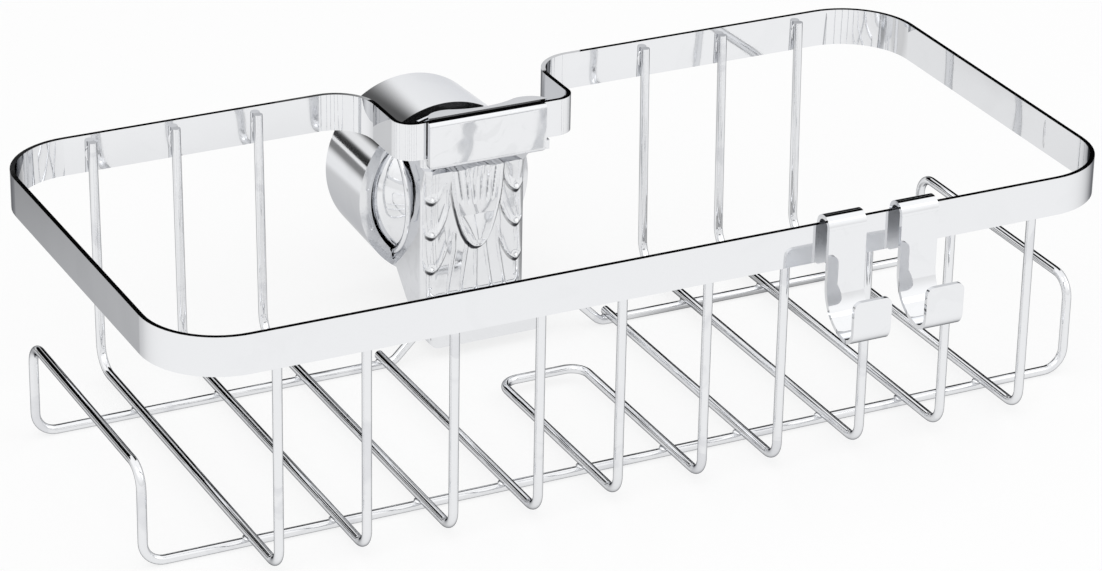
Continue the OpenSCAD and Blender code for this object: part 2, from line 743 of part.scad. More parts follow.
module jaw_pad() {
  color("dimgray") hung() translate([clamp_x, 0, knob_z]) intersection() {
    translate([-jaw_w/2, jaw_y, -jaw_h/2 + 0.8]) cube([jaw_w, rod_d, jaw_h - 1.6]);
    translate([0, rod_y, -jaw_h]) difference() {
      cylinder(r = rod_d/2 + pad_t, h = 2*jaw_h);
      translate([0, 0, -1]) cylinder(r = rod_d/2, h = 2*jaw_h + 2);
    }
  }
}

module thrust_washer() {
  color("ivory") hung() translate([clamp_x, 0, knob_z]) difference() {
    ycyl(washer_r, hub_y - washer_t, hub_y);
    ycyl(stem_r + 0.1, brg_back - 1, hub_y + 1);
  }
}

// Knob: a drawn barrel on a hub, with a slotted flange at the front
module clamp_knob() {
  slot_r = (flange_r + knob_r - knob_wall)/2;
  half = (slot_l - slot_w)/2;
  color("silver") hung() translate([clamp_x, 0, knob_z]) difference() {
    union() {
      difference() {
        union() {
          ycone(knob_r, knob_back_r, knob_y, knob_end - bevel);
          ycone(knob_back_r, knob_back_r - bevel, knob_end - bevel - lap, knob_end);
        }
        ycyl(flange_r, knob_y - 1, knob_y + 3);
        ycone(knob_r - knob_wall, knob_back_r - knob_wall, knob_y + flange_t, knob_end - back_t);
      }
      ycyl(hub_r, hub_y, knob_end - 2);
      for (a = [0:60:300]) rotate([0, a, 0]) translate([hub_r - 1, hub_y + 2, -rib_t/2])
        cube([knob_back_r - knob_wall - hub_r + 1.5, knob_end - 4 - hub_y, rib_t]);
    }
    // seat of the screw with its flat
    intersection() {
      ycyl(stem_r + 0.02, hub_y - 1, stem_end + 0.1);
      flat_side(0.04);
    }
    ycyl(stem_r + 0.1, hub_y - 1, hub_y + 0.3);
    ycyl(bolt_r + 0.1, stem_end - 1, knob_end);
    ycyl(2*bolt_r + 0.2, bolt_seat, knob_end);
    ycyl(cap_r, knob_end - cap_in, knob_end + 1);
    for (i = [0:slots - 1]) rotate([0, (i + 0.5)*360/slots, 0]) {
      translate([slot_r - slot_w/2, knob_y - 1, -half])
        cube([slot_w, slot_deep + 1, 2*half]);
      for (s = [-1, 1]) ycyl(slot_w/2, knob_y - 1, knob_y + slot_deep, slot_r, s*half);
    }
  }
}

module knob_bolt() {
  color("dimgray") hung() screw_y(clamp_x, knob_z, bolt_seat, bolt_l, bolt_r, 2*bolt_r - 0.1, 2);
}

module knob_cap() {
  r = cap_r - 0.02;
  color("silver") hung() translate([clamp_x, 0, knob_z]) {
    ycyl(r, knob_end - cap_in, knob_end - 0.4);
    ycone(r, r - 1, knob_end - 0.4 - lap, knob_end + 0.3);
  }
}

rim_band();
u_wire(wire_1_x);  // u_wire_1
u_wire(wire_1_x + left_pitch);  // u_wire_2
u_wire(wire_1_x + 2*left_pitch);  // u_wire_3
j_wire(wire_4_x);  // j_wire_4
hairpin_wire();
j_wire(wire_7_x);  // j_wire_7
u_wire(wire_7_x + right_pitch);  // u_wire_8
u_wire(wire_7_x + 2*right_pitch);  // u_wire_9
u_wire(wire_10_x);  // u_wire_10
base_rail();
hook(hook_1_x);  // hook_left
hook(hook_2_x);  // hook_right
bracket_body();
clip_liner();
front_pad();
ball_housing();
housing_screws();
bearing_plate();
plate_screws();
clamp_screw();
nut_insert();
jaw();
jaw_pad();
thrust_washer();
clamp_knob();
knob_bolt();
knob_cap();
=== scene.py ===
import json
import math

import bpy
import numpy as np
from mathutils import Matrix, Vector


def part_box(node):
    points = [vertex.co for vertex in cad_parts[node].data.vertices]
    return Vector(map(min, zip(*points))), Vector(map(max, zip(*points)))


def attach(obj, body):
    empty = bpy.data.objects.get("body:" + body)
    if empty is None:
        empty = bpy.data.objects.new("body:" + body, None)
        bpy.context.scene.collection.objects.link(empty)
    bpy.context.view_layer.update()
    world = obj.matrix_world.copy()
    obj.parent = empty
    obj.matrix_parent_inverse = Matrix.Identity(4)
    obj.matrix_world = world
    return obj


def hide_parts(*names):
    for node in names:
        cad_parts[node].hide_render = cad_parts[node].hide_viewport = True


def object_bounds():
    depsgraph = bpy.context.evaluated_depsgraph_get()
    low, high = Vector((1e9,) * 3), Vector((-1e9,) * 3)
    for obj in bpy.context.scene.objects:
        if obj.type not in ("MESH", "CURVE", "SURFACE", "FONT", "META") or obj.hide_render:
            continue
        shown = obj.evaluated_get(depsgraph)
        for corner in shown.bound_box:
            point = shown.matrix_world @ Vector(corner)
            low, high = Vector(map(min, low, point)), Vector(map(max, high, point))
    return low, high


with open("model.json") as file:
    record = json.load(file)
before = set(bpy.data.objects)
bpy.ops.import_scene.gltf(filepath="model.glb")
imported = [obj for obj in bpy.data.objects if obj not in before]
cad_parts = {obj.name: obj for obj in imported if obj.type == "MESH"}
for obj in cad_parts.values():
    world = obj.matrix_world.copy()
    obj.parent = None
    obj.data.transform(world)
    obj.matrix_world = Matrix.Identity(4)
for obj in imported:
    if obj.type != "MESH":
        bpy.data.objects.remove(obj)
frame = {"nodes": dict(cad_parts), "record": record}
cad_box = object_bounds()

# All sizes are millimetres, as measured from the rail's axis: X right, Y to the rear, Z up.
MM = 0.001

# the photograph's width in pixels, and its camera: focal length in pixels, place, and how far it
# is turned to the side, raised and tilted, in degrees
PHOTO_W = 1102
PHOTO_FOCAL = 4176.36
CAMERA_PLACE = (-538.12, -1137.24, 564.04)
CAMERA_TURNS = (-26.7185, 25.2750, 1.1315)
SENSOR_W = 36

# the bracket's panel, as in the CAD: half width, face, edge rounding, lowest and highest carved
# place, and how far the solid's own relief reaches past the one and stays under the other
PANEL_HALF = 18.5
PANEL_Y = -13.0
PANEL_R = 4.5
PANEL_LOW = -27.0
PANEL_HIGH = 19.6
RELIEF_PAST_LOW = 0.6
RELIEF_UNDER_HIGH = 2.6
# the clip's slot: its top, its rear side, and how much the cast top falls for each mm to the rear
CLIP_TOP = 41.1
CLIP_REAR = -19.9
CLIP_FALL = 0.12

# the carved face: distance of its points, how much of the panel's width stays free of it, its
# thickness behind the panel and how far its bare ground stands off the panel
CARVING_STEP = 0.2
CARVING_MARGIN = 1.0
CARVING_BACK = 0.4
CARVING_SUNK = -0.03
CARVING_STANDS = 0.06

# the tongue: its tip and middle, half widths at heights over the tip, how proud it stands at
# other heights, where its flutes begin, their places beside the middle, depth and half width
TONGUE_TIP = -10.2
TONGUE_X = -0.1
TONGUE_RISE = (0, 0.5, 1.5, 2.8, 5.4, 9.4, 13, 16.5, 21, 27.5)
TONGUE_HALF = (0, 1.9, 3.2, 4.3, 5.7, 7.1, 8.1, 8.9, 9.6, 10.1)
PROUD_RISE = (0, 3, 12, 28)
PROUD = (2.3, 2.3, 1.5, 0.9)
FLUTES = (-6.6, -4.0, -1.35, 1.35, 4.0, 6.6)
FLUTE_FROM, FLUTE_FULL = 15.5, 19
FLUTE_DEEP = 0.6
FLUTE_HALF = 0.3

# the fan under the tongue: each rib's foot and top beside the middle, their length and height
FAN = ((0, 0), (5.8, 3.3), (10.6, 7.8))
FAN_LONG = 16.5
RIB_HIGH = 0.4

# the scallops: lowest point of each row, their place on both sides of their own middle, the curve
# of their edge, the height of a layer, of the drop at its tip and of the stem under it
SCALLOPS = (7.7, -4.7, -17.1)
SCALLOP_X = 15.2
SCALLOP_MIDDLE = -1.1
SCALLOP_CURVE = 0.24
LAYER_HIGH = 0.75
DROP_HIGH = 0.75
STEM_HIGH = 0.3

# where the painted shade under the carved edges looks for edges above a place, beside it and up
# from it, and how far these stand over it where the painted shade begins and where it is full
PAINTED_SHADE_LOOKS = ((0, 0.5), (0.3, 0.9), (-0.3, 0.9), (0, 1.4))
PAINTED_SHADE_FROM, PAINTED_SHADE_FULL = 0.18, 1.1

# the rounded lip of the arch in the side walls: middle of the ball, the wall's rear edge, radius
# of the arch, radius of the lip and how far its middle lies inside the wall's face
BALL_Y = 22.5
WEB_Y = 11.5
ARCH_R = 22.0
LIP_R = 1.15
LIP_IN = 0.25

# where the wires meet the rails, and the rim's inner faces at the front, the rear and the right
WIRE_R = 1.5
WELD_Z = -40.3
RIM_FRONT_IN = -140.4
RIM_REAR_IN = 12.4
RIM_RIGHT_IN = 162.9
RIM_FACE = -141.75
# half sizes of the weld beads: crossings, ends of the short wires, ends at the rear and the front
# of the rim, the strip's own seam; the front beads stand aside to leave the hooks their way
CROSSING_BEAD = (1.9, 1.75, 0.75)
END_BEAD = (1.8, 1.9, 0.8)
REAR_BEAD = (2.2, 0.5, 3.4)
FRONT_BEAD = (1.85, 0.5, 3.4)
BEAD_ASIDE = 0.45
BEAD_Z = 34.6
SEAM_BEAD = (0.35, 0.8, 6.2)
SEAM_Y = -97.6
SEAM_Z = 34.5

# the white card behind the knob: its place, and where it has faded in from the left
CARD_Y = 62.0
CARD_LOW = 26.0
CARD_HIGH = 68.0
CARD_LEFT = -40.0
CARD_FADE = -19.0
CARD_FULL = 3.0
CARD_RIGHT = 75.0
CARD_LEAST = 0.1

# the floor's size in metres, and how far it is lifted to plain white where the camera sees it and
# where chrome mirrors it
FLOOR_SIZE = 8
FLOOR_SEEN = 0.72
FLOOR_MIRRORED = 0.8
# patches of painted shade in the floor's glow, which only the chrome sees: middle, half size,
# level (1 is white), and where a patch's soft edge begins and ends, as a share of its half size
SHADES = (
    ((3.5, -64), (180, 95), 0.92),       # under the basket
    ((-25, 110), (70, 62), 0.66),        # behind the knob, on its left
    ((100, -12), (48, 30), 0.4),         # beside the panel, along its right edge
    ((-370, 520), (230, 420), 0.08),     # far behind on the left, the barrel's dark patch
)
SHADE_FROM, SHADE_TO = 0.7, 1.3

# the room's level overhead, where 1 is white, and how high up it is reached
ROOM_TOP = 1.12
ROOM_TOP_UP = 0.6
# soft dark flags behind the basket: side and height of the middle, half width, half height and
# slant in degrees, softness of the edge, colour
FLAGS = (
    (-14, 25, 25, 14, 0, 0.4, "#080808"),          # the barrel's dark left side
    (27.5, 24.2, 11.0, 3.9, -12, 0.3, "#080808"),  # the black line along level top edges
    (34, 28, 15, 32, 0, 0.25, "#0A0A0A"),          # the dark sides of bends and wires
    (-35, 1, 8, 7, 0, 0.3, "#1C1C1C"),             # the barrel's dark patch under the rim
)

# the studio's lamps: name, place and size in metres, power
LAMPS = (
    ("key_lamp", (-0.8, -1.0, 1.6), 1.2, 5),
    ("fill_lamp", (1.4, -0.8, 1.0), 1.2, 3),
)


def srgb(hexa):
    """A colour written as on a paint card, turned to the linear numbers that a shader takes."""
    parts = [int(hexa[i:i + 2], 16) / 255 for i in (1, 3, 5)]
    return [c / 12.92 if c <= 0.04045 else ((c + 0.055) / 1.055) ** 2.4 for c in parts] + [1]


def add(tree, kind, inputs=None, **settings):
    """Adds one node: settings are its own values, inputs are numbers or the sockets it is fed
    from."""
    made = tree.nodes.new(kind)
    for key, value in settings.items():
        setattr(made, key, value)
    for key, value in (inputs or {}).items():
        if isinstance(value, bpy.types.NodeSocket):
            tree.links.new(value, made.inputs[key])
        else:
            made.inputs[key].default_value = value
    return made


def new_material(name):
    """A new material and its empty node tree."""
    made = bpy.data.materials.new(name)
    made.use_nodes = True
    made.node_tree.nodes.clear()
    return made, made.node_tree


def chrome(name, hexa, rough, wave_mm, wave_deep, cloud_mm, cloud_hexa, edge="#6E6F72",
        painted_shade_hexa=None, inside_rough=None):
    """Bright chrome over steel or zinc: a mirror, uneven as the metal under it, a little darker
    where it turns away from the eye, with faint clouds where the polish is thinner. A carving gets
    painted shade under its raised edges, and a hook satin inner sides, which no polishing
    wheel reaches."""
    made, t = new_material(name)
    place = add(t, "ShaderNodeTexCoord").outputs["Object"]
    wave = add(t, "ShaderNodeTexNoise", {"Vector": place, "Scale": 1000 / wave_mm, "Detail": 1})
    film = add(t, "ShaderNodeTexNoise", {"Vector": place, "Scale": 1000 / cloud_mm, "Detail": 3,
        "Distortion": 1.2})
    cloud = add(t, "ShaderNodeMapRange", {"Value": film.outputs["Fac"], "From Min": 0.56,
        "From Max": 0.66}, interpolation_type="SMOOTHSTEP")
    shade = add(t, "ShaderNodeMix", {"Factor": cloud.outputs["Result"], "A": srgb(hexa),
        "B": srgb(cloud_hexa)}, data_type="RGBA")
    # painted shade: the carving's stored shade darkens the base colour just under its raised edges
    if painted_shade_hexa:
        deep = add(t, "ShaderNodeAttribute", attribute_name="painted_shade")
        shade = add(t, "ShaderNodeMix", {"Factor": deep.outputs["Fac"],
            "A": shade.outputs["Result"], "B": srgb(painted_shade_hexa)}, data_type="RGBA")
    if inside_rough:
        facing = add(t, "ShaderNodeNewGeometry").outputs["True Normal"]
        facing = add(t, "ShaderNodeSeparateXYZ", {"Vector": facing})
        turned = add(t, "ShaderNodeMapRange", {"Value": facing.outputs["Y"], "From Min": 0.8,
            "From Max": 0.95})
        split = add(t, "ShaderNodeSeparateXYZ", {"Vector": place})
        front = add(t, "ShaderNodeMath", {0: split.outputs["Y"], 1: RIM_FACE * MM},
            operation="LESS_THAN")
        inner = add(t, "ShaderNodeMath", {0: turned.outputs["Result"], 1: front.outputs[0]},
            operation="MULTIPLY")
        rough_to = add(t, "ShaderNodeMapRange", {"Value": inner.outputs[0], "To Min": rough,
            "To Max": inside_rough})
    else:
        rough_to = add(t, "ShaderNodeMapRange", {"Value": cloud.outputs["Result"],
            "To Min": rough, "To Max": rough * 1.4})
    bump = add(t, "ShaderNodeBump", {"Height": wave.outputs["Fac"], "Distance": wave_deep * MM,
        "Strength": 1})
    metal = add(t, "ShaderNodeBsdfPrincipled", {"Base Color": shade.outputs["Result"],
        "Metallic": 1, "Roughness": rough_to.outputs["Result"], "Specular Tint": srgb(edge),
        "Normal": bump.outputs["Normal"]})
    add(t, "ShaderNodeOutputMaterial", {"Surface": metal.outputs["BSDF"]})
    return made


def plain(name, hexa, rough, grain_mm, grain_deep, metallic=0):
    """Rubber, plastic or plain metal: one colour with the fine grain of its mould or tool."""
    made, t = new_material(name)
    place = add(t, "ShaderNodeTexCoord").outputs["Object"]
    grain = add(t, "ShaderNodeTexNoise", {"Vector": place, "Scale": 1000 / grain_mm, "Detail": 4})
    shade = add(t, "ShaderNodeMix", {"Factor": grain.outputs["Fac"],
        "A": srgb(hexa), "B": [c * 0.8 for c in srgb(hexa)[:3]] + [1]}, data_type="RGBA")
    bump = add(t, "ShaderNodeBump", {"Height": grain.outputs["Fac"],
        "Distance": grain_deep * MM, "Strength": 1})
    body = add(t, "ShaderNodeBsdfPrincipled", {"Base Color": shade.outputs["Result"],
        "Metallic": metallic, "Roughness": rough, "Normal": bump.outputs["Normal"]})
    add(t, "ShaderNodeOutputMaterial", {"Surface": body.outputs["BSDF"]})
    return made


# rolled strip, polished and plated: it mirrors the room nearly unbroken, in long soft waves
strip_chrome = chrome("chrome plated steel strip", "#EDEEF0", rough=0.03, wave_mm=24,
    wave_deep=0.16, cloud_mm=26, cloud_hexa="#ECEDEF")
# bent strip, the smoothest of them all outside and satin inside, where its reflections turn grey
hook_chrome = chrome("chrome plated bent strip", "#EDEEF0", rough=0.025, wave_mm=9,
    wave_deep=0.03, cloud_mm=12, cloud_hexa="#EBECEE", inside_rough=0.5)
# drawn wire: its round sides squeeze the room into fine light and dark lines along it
wire_chrome = chrome("chrome plated drawn wire", "#EBECEE", rough=0.035, wave_mm=14,
    wave_deep=0.01, cloud_mm=20, cloud_hexa="#E1E2E5")
# die cast zinc: a little softer than strip, with the short waves of the hand polished casting
cast_chrome = chrome("chrome plated zinc casting", "#EDEEF0", rough=0.05, wave_mm=8,
    wave_deep=0.07, cloud_mm=9, cloud_hexa="#E9EAEC", edge="#C4C5C8")
# the same casting where it is carved: painted shade darkens it just under its raised edges, which
# draws the ornament
carved_chrome = chrome("chrome plated carved casting", "#EDEEF0", rough=0.05, wave_mm=8,
    wave_deep=0.05, cloud_mm=9, cloud_hexa="#E9EAEC", painted_shade_hexa="#3A3B3E")
# drawn tube, buffed round and round: a broad soft light along its top
barrel_chrome = chrome("chrome plated drawn barrel", "#EDEEF0", rough=0.08, wave_mm=26,
    wave_deep=0.02, cloud_mm=30, cloud_hexa="#EAEBED", edge="#E4E5E8")
# turned parts: grey and softly bright, the tool's marks drawn 0.4 mm apart so that they show
turned_steel = plain("turned steel", "#9C9EA1", 0.3, 0.4, 0.01, metallic=1)
screw_steel = plain("stainless screw steel", "#A4A5A8", 0.25, 0.4, 0.01, metallic=1)
brass = plain("turned brass", "#C9A86A", 0.28, 0.4, 0.01, metallic=1)
# moulded rubber: black and matt, it swallows the light between the jaws
rubber = plain("moulded rubber", "#1C1C1E", 0.7, 0.5, 0.02)
# moulded nylon: milky white with a dull gloss
nylon = plain("moulded nylon", "#DFDDD6", 0.45, 0.5, 0.01)
# the liner's dark plastic: a thin dull line between clip and rim
liner_plastic = plain("moulded liner plastic", "#2A2A2C", 0.5, 0.5, 0.01)

FINISH = {
    "basket_chrome": wire_chrome, "hook_chrome": hook_chrome, "cast_chrome": cast_chrome,
    "drawn_chrome": barrel_chrome, "inner_steel": turned_steel, "screw_steel": screw_steel,
    "brass": brass, "rubber": rubber, "nylon": nylon, "liner_plastic": liner_plastic,
}


def wear(piece, finish):
    """Gives a piece its finish."""
    piece.data.materials.clear()
    piece.data.materials.append(finish)


def settle(piece, name, body, finish):
    """Names a finished piece, gives it its finish and the body that it rides on."""
    piece.name = name
    wear(piece, finish)
    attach(piece, body)
    return piece


def in_edit(*steps):
    """Runs edit mode operators on the active piece with all of it selected."""
    bpy.ops.object.mode_set(mode="EDIT")
    bpy.ops.mesh.select_all(action="SELECT")
    for step in steps:
        step()
    bpy.ops.object.mode_set(mode="OBJECT")


def copy_piece(source):
    """A copy with its own mesh, alone selected and active."""
    bpy.ops.object.select_all(action="DESELECT")
    made = source.copy()
    made.data = source.data.copy()
    bpy.context.scene.collection.objects.link(made)
    bpy.context.view_layer.objects.active = made
    made.select_set(True)
    return made


def points_of(piece):
    """A piece's points in mm."""
    flat = np.empty(3 * len(piece.data.vertices), np.float32)
    piece.data.vertices.foreach_get("co", flat)
    return flat.reshape(-1, 3) / MM


def move_points(piece, points):
    """Puts a piece's points at places given in mm."""
    piece.data.vertices.foreach_set("co", (points * MM).astype(np.float32).ravel())
    piece.data.update()


def ease(low, high, value):
    """0 below low, 1 above high, and a smooth step between."""
    part = np.clip((value - low) / (high - low), 0, 1)
    return part * part * (3 - 2 * part)


def ridge(away, half):
    """A soft ridge: 1 on its line, and about a third at its half width."""
    return np.exp(-(away / half) ** 2)


def panel_face(x):
    """The panel's face at a place across it: flat in the middle and rounded at its edges."""
    past = np.clip(np.abs(x) - (PANEL_HALF - PANEL_R), 0, PANEL_R - 0.01)
    return PANEL_Y + PANEL_R - np.sqrt(PANEL_R ** 2 - past ** 2)


def tongue_outline(x, z):
    """How far a place lies inside the tongue's outline, and the tongue's half width there."""
    rise = z - TONGUE_TIP
    half = np.interp(rise, TONGUE_RISE, TONGUE_HALF)
    return np.minimum(half - np.abs(x - TONGUE_X), rise * 0.9), half


def tongue_height(x, z):
    """The tongue: crowned, proudest at its tip, with a bead along its edge and six flutes."""
    inside, half = tongue_outline(x, z)
    rise = z - TONGUE_TIP
    off = np.clip(np.abs(x - TONGUE_X) / np.maximum(half, 0.5), 0, 1)
    height = np.interp(rise, PROUD_RISE, PROUD) * (1 - 0.45 * off ** 2) * ease(0, 0.7, inside)
    height += 0.3 * ridge(inside - 0.95, 0.4) * (inside > 0)
    for flute in FLUTES:
        line = TONGUE_X + flute * (0.8 + 0.02 * (rise - 16))
        deep = FLUTE_DEEP * ridge(x - line, FLUTE_HALF)
        height -= deep * ease(FLUTE_FROM, FLUTE_FULL, rise) * (inside > 0)
    return np.maximum(height, 0)


def fan_height(x, z):
    """The fan under the tongue: a middle rib and two on each side that draw together upwards."""
    under = TONGUE_TIP - z
    reach = np.clip(under / FAN_LONG, 0, 1)
    height = np.zeros_like(x)
    for low, high in FAN:
        for side in ((-1, 1) if low else (1,)):
            line = TONGUE_X + side * (high + (low - high) * reach)
            rib = RIB_HIGH * ridge(x - line, 0.4) * ease(-FAN_LONG, 1 - FAN_LONG, -under)
            height = np.maximum(height, rib * ease(-1.5, 0, under + 2 + high * 0.4))
    return height


def scallop_height(x, z, row, clear):
    """One row of scallops: a layer that thins upwards, a drop at its tip and a stem under it.
    Layer and drop keep clear of the tongue, and the stem runs on to the next row."""
    wide = np.abs(x - SCALLOP_MIDDLE)
    over = z - row - SCALLOP_CURVE * (wide - SCALLOP_X) ** 2
    layer = LAYER_HIGH * ease(0, 0.4, over) * np.exp(-np.clip(over, 0, 20) / 5)
    layer *= ease(8.0, 10.5, wide) * ease(-13, -11.5, -over)
    drop = DROP_HIGH * ridge(wide - SCALLOP_X, 0.95) * ridge(z - row - 0.5, 1.1)
    stem = STEM_HIGH * ridge(wide - SCALLOP_X, 0.32) * ease(row - 6.5, row - 5.5, z)
    return np.maximum((layer + drop) * clear, stem * ease(-0.4, 0, row - z))


def relief_height(x, z):
    """Height of the cast ornament over the panel, in mm."""
    clear = tongue_outline(x, z)[0] <= 0
    height = np.maximum(tongue_height(x, z), fan_height(x, z) * clear)
    for row in SCALLOPS:
        height = np.maximum(height, scallop_height(x, z, row, clear))
    return height


def painted_shade(x, z):
    """How deep a place lies under the carved edges just above it, from 0 to 1: the amount of
    painted shade there, darkest just under an edge, as if the edge kept the light from above off."""
    above = [relief_height(x + side, z + up) for side, up in PAINTED_SHADE_LOOKS]
    return ease(PAINTED_SHADE_FROM, PAINTED_SHADE_FULL, np.max(above, axis=0) - relief_height(x, z))


def build_casting():
    """The casting's body: a copy of the CAD node whose plain relief is taken back to the panel,
    with smooth sides and a clip whose top falls a little to the rear."""
    body = copy_piece(frame["nodes"]["bracket_body"])
    in_edit(lambda: bpy.ops.mesh.remove_doubles(threshold=0.000002))
    at = points_of(body)
    x, y, z = at.T
    carved = (z > PANEL_LOW - RELIEF_PAST_LOW) & (z < PANEL_HIGH - RELIEF_UNDER_HIGH)
    face = panel_face(x)
    proud = carved & (np.abs(x) < PANEL_HALF + 2) & (y < face - 0.005)
    at[proud, 1] = face[proud]
    sides = (np.abs(x) > PANEL_HALF + 0.02) & (y > PANEL_Y - 4)
    sides &= (z > PANEL_LOW - RELIEF_PAST_LOW) & (z < PANEL_HIGH)
    at[sides, 0] = np.sign(at[sides, 0]) * PANEL_HALF
    top = (z > CLIP_TOP - 0.15) & (y > CLIP_REAR)
    at[top, 2] -= (at[top, 1] - CLIP_REAR) * CLIP_FALL
    move_points(body, at)
    in_edit(lambda: bpy.ops.mesh.customdata_custom_splitnormals_clear())
    bpy.ops.object.shade_smooth_by_angle(angle=math.radians(28))
    settle(body, "bracket_casting", "clamp", cast_chrome)
    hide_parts("bracket_body")


def build_carving():
    """The carved face: a fine grid shaped by relief_height(), with a thin wall behind it that
    sinks into the panel."""
    bpy.ops.object.select_all(action="DESELECT")
    wide, high = 2 * PANEL_HALF - CARVING_MARGIN, PANEL_HIGH - PANEL_LOW
    bpy.ops.mesh.primitive_grid_add(x_subdivisions=int(wide / CARVING_STEP),
        y_subdivisions=int(high / CARVING_STEP), size=1)
    carving = bpy.context.object
    at = points_of(carving) * MM
    x, z = at[:, 0] * wide, PANEL_LOW + (at[:, 1] + 0.5) * high
    edge = np.minimum(0.5 - np.abs(at[:, 0]), 0.5 - np.abs(at[:, 1])) * wide
    height = relief_height(x, z) * ease(0.2, 1.6, edge)
    height += CARVING_STANDS * ease(0, 0.8, edge) + CARVING_SUNK
    move_points(carving, np.stack([x, panel_face(x) - height, z], 1))
    # painted shade under the carved edges, kept on each point for the carving's material
    shade = carving.data.attributes.new("painted_shade", "FLOAT", "POINT")
    shade.data.foreach_set("value", painted_shade(x, z).astype(np.float32))
    thick = carving.modifiers.new("back", "SOLIDIFY")
    thick.thickness = CARVING_BACK * MM
    thick.offset = -1
    bpy.ops.object.modifier_apply(modifier=thick.name)
    bpy.ops.object.shade_smooth_by_angle(angle=math.radians(60))
    settle(carving, "panel_carving", "clamp", carved_chrome)


def build_lips():
    """The rounded lip along each side wall's arch, cast with the bracket: a ring, cut off at the
    wall's rear edge."""
    bpy.ops.object.select_all(action="DESELECT")
    wall = PANEL_HALF - LIP_IN
    bpy.ops.mesh.primitive_torus_add(major_segments=120, minor_segments=16,
        major_radius=ARCH_R * MM, minor_radius=LIP_R * MM,
        location=(-wall * MM, BALL_Y * MM, 0), rotation=(0, math.pi / 2, 0))
    left = bpy.context.object
    bpy.ops.object.transform_apply(location=True, rotation=True, scale=True)
    in_edit(lambda: bpy.ops.mesh.bisect(plane_co=(0, (WEB_Y - 0.3) * MM, 0),
        plane_no=(0, 1, 0), use_fill=True, clear_outer=True))
    bpy.ops.object.shade_smooth_by_angle(angle=math.radians(40))
    right = copy_piece(left)
    move_points(right, points_of(right) + np.array([2 * wall, 0, 0]))
    settle(left, "arch_lip_left", "clamp", cast_chrome)
    settle(right, "arch_lip_right", "clamp", cast_chrome)


def weld_drop():
    """A small round drop, 1 mm in radius, which every weld is squashed from."""
    bpy.ops.object.select_all(action="DESELECT")
    bpy.ops.mesh.primitive_uv_sphere_add(segments=18, ring_count=12, radius=MM)
    drop = bpy.context.object
    bpy.ops.object.shade_smooth()
    return drop


def build_welds(name, spots):
    """The welds of one kind, each with its own place, half sizes, turn and the uneven skin that
    molten metal leaves, joined to one piece."""
    drop = weld_drop()
    beads = [drop] + [copy_piece(drop) for _ in spots[1:]]
    for count, (bead, (place, half, turn)) in enumerate(zip(beads, spots)):
        at = points_of(bead)
        seed = count * 1.7
        swell = 1 + 0.10 * np.sin(3.1 * at[:, 0] + seed) * np.cos(2.7 * at[:, 1] + 2 * seed)
        at = at * swell[:, None] * np.array(half)
        c, s = math.cos(turn), math.sin(turn)
        at = np.stack([at[:, 0] * c - at[:, 1] * s, at[:, 0] * s + at[:, 1] * c, at[:, 2]], 1)
        move_points(bead, at + np.array(place))
    bpy.ops.object.select_all(action="DESELECT")
    for bead in beads:
        bead.select_set(True)
    bpy.context.view_layer.objects.active = beads[0]
    if len(beads) > 1:
        bpy.ops.object.join()
    settle(beads[0], name, "basket", wire_chrome)


def build_basket_welds():
    """A bead at each crossing of wires and rails, one at each wire's end on the rim, and the seam
    that closes the rim's strip."""
    rail_low, rail_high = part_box("base_rail")
    front_y, rear_y = rail_low.y / MM + WIRE_R, rail_high.y / MM - WIRE_R
    legs = {}
    for name in (n for n in frame["nodes"] if "wire" in n):
        low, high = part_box(name)
        if name == "hairpin_wire":
            legs[name] = [low.x / MM + WIRE_R, high.x / MM - WIRE_R]
        else:
            legs[name] = [(low.x + high.x) / 2 / MM]
    crossings, tops = [], []
    for name, places in legs.items():
        for x in places:
            crossings.append(((x - 0.3, front_y, WELD_Z), CROSSING_BEAD, 0.3))
            if name.startswith("u_"):
                crossings.append(((x + 0.2, rear_y, WELD_Z), CROSSING_BEAD, -0.4))
                tops.append(((x, RIM_REAR_IN, BEAD_Z), REAR_BEAD, 0.1))
            if name.startswith("j_"):
                crossings.append(((x, rear_y - 0.2, WELD_Z), END_BEAD, 0.6))
            tops.append(((x + BEAD_ASIDE, RIM_FRONT_IN, BEAD_Z), FRONT_BEAD, -0.1))
    build_welds("rail_welds", crossings)
    build_welds("rim_welds", tops)
    build_welds("rim_seam", [((RIM_RIGHT_IN, SEAM_Y, SEAM_Z), SEAM_BEAD, 0.0)])


